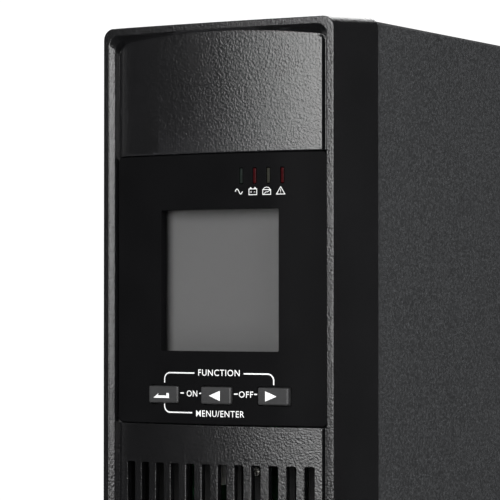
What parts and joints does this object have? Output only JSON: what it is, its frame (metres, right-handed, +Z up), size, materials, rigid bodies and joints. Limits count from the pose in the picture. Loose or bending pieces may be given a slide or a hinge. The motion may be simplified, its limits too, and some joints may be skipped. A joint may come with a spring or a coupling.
{
  "type": "rack and tower uninterruptible power supply",
  "caption": "Upright rack-width power backup case: crowned vented bezel with a square display and keys, sheet metal body, sliding battery cassette, rear fan and sockets, tower stands.",
  "frame": {"origin": "on the floor, under the middle of the whole object", "axes": "+Z up with the unit standing as a tower, front bezel facing -Y, +X to the right seen from the front"},
  "size_m": [0.1766, 0.41, 0.443],
  "materials": {
    "aluminium": "satin",
    "bare_steel": "satin",
    "battery_block": "matte",
    "bezel_plastic": "fine moulded grain, satin",
    "capacitor_sleeve": "gloss",
    "chassis_paint": "fine textured powder coat, satin",
    "circuit_board": "satin",
    "clear_pane": "polished",
    "connector_grey": "satin",
    "copper_winding": "satin",
    "fan_plastic": "satin",
    "ferrite": "matte",
    "key_plastic": "satin",
    "lamp_red": "gloss",
    "lamp_smoke": "gloss",
    "lcd_grey": "matte",
    "panel_gloss": "gloss",
    "relay_case": "satin",
    "ribbon_cable": "satin",
    "socket_plastic": "satin",
    "stand_plastic": "fine grain, satin",
    "terminal_green": "satin"
  },
  "bodies": {
    "chassis": {"battery_bay_wall": "bare_steel", "battery_socket": "connector_grey", "breaker": "socket_plastic", "bulk_capacitor_1": "capacitor_sleeve", "bulk_capacitor_2": "capacitor_sleeve", "bulk_capacitor_3": "capacitor_sleeve", "bulk_capacitor_4": "capacitor_sleeve", "chassis_base": "chassis_paint", "chassis_cover": "chassis_paint", "choke_inverter": "copper_winding", "choke_rectifier": "copper_winding", "control_board": "circuit_board", "display_cable": "ribbon_cable", "epo_header": "terminal_green", "fan_frame": "fan_plastic", "fan_guard": "bare_steel", "front_wall": "chassis_paint", "heatsink_inverter": "aluminium", "heatsink_rectifier": "aluminium", "inlet_socket": "socket_plastic", "main_board": "circuit_board", "network_port": "socket_plastic", "outlet_bank_lower": "socket_plastic", "outlet_bank_upper": "socket_plastic", "rear_panel": "chassis_paint", "relay_bypass": "relay_case", "relay_output": "relay_case", "serial_port": "bare_steel", "slot_cover": "chassis_paint", "stand_front_left": "stand_plastic", "stand_front_right": "stand_plastic", "stand_rear_left": "stand_plastic", "stand_rear_right": "stand_plastic", "transformer": "ferrite", "usb_port": "bare_steel"},
    "bezel": {"front_bezel": "bezel_plastic", "display_panel": "panel_gloss", "lcd_module": "lcd_grey", "lcd_window": "clear_pane", "display_board": "circuit_board", "light_pipe_mains": "lamp_smoke", "light_pipe_battery": "lamp_red", "light_pipe_bypass": "lamp_smoke", "light_pipe_fault": "lamp_red", "switch_enter": "socket_plastic", "switch_left": "socket_plastic", "switch_right": "socket_plastic"},
    "key_enter_body": {"key_enter": "key_plastic"},
    "key_left_body": {"key_left": "key_plastic"},
    "key_right_body": {"key_right": "key_plastic"},
    "battery_cassette": {"battery_tray": "bare_steel", "battery_1": "battery_block", "battery_2": "battery_block", "battery_3": "battery_block", "battery_4": "battery_block", "battery_plug": "connector_grey"},
    "bail": {"bail_handle": "bare_steel"},
    "fan": {"fan_rotor": "fan_plastic"},
    "reset_button": {"breaker_button": "socket_plastic"},
    "epo": {"epo_plug": "terminal_green"}
  },
  "joints": [
    {"name": "battery_slide", "type": "slide", "parent": "chassis", "child": "battery_cassette", "axis": [0, -1, 0], "range_m": [0, 0.3]},
    {"name": "bezel_pull", "type": "slide", "parent": "chassis", "child": "bezel", "axis": [0, -1, 0], "range_m": [0, 0.36]},
    {"name": "key_enter_press", "type": "slide", "parent": "bezel", "child": "key_enter_body", "axis": [0, 1, 0], "range_m": [0, 0.0008], "stiffness_N_per_m": 800, "springref_m": -0.0005},
    {"name": "key_left_press", "type": "slide", "parent": "bezel", "child": "key_left_body", "axis": [0, 1, 0], "range_m": [0, 0.0008], "stiffness_N_per_m": 800, "springref_m": -0.0005},
    {"name": "key_right_press", "type": "slide", "parent": "bezel", "child": "key_right_body", "axis": [0, 1, 0], "range_m": [0, 0.0008], "stiffness_N_per_m": 800, "springref_m": -0.0005},
    {"name": "bail_swing", "type": "hinge", "parent": "battery_cassette", "child": "bail", "pos_m": [-0.0049, -0.1797, 0.1218], "axis": [-1, 0, 0], "range_deg": [0, 90]},
    {"name": "fan_spin", "type": "hinge", "parent": "chassis", "child": "fan", "pos_m": [0, 0.1938, 0.3975], "axis": [0, 1, 0], "continuous": true},
    {"name": "breaker_reset", "type": "slide", "parent": "chassis", "child": "reset_button", "axis": [0, 1, 0], "range_m": [0, 0.003]},
    {"name": "epo_plug_pull", "type": "slide", "parent": "chassis", "child": "epo", "axis": [0, 1, 0], "range_m": [0, 0.012]}
  ],
  "couplings": [
    {"joint": "bezel_pull", "follows": "battery_slide", "ratio": 1.2}
  ]
}
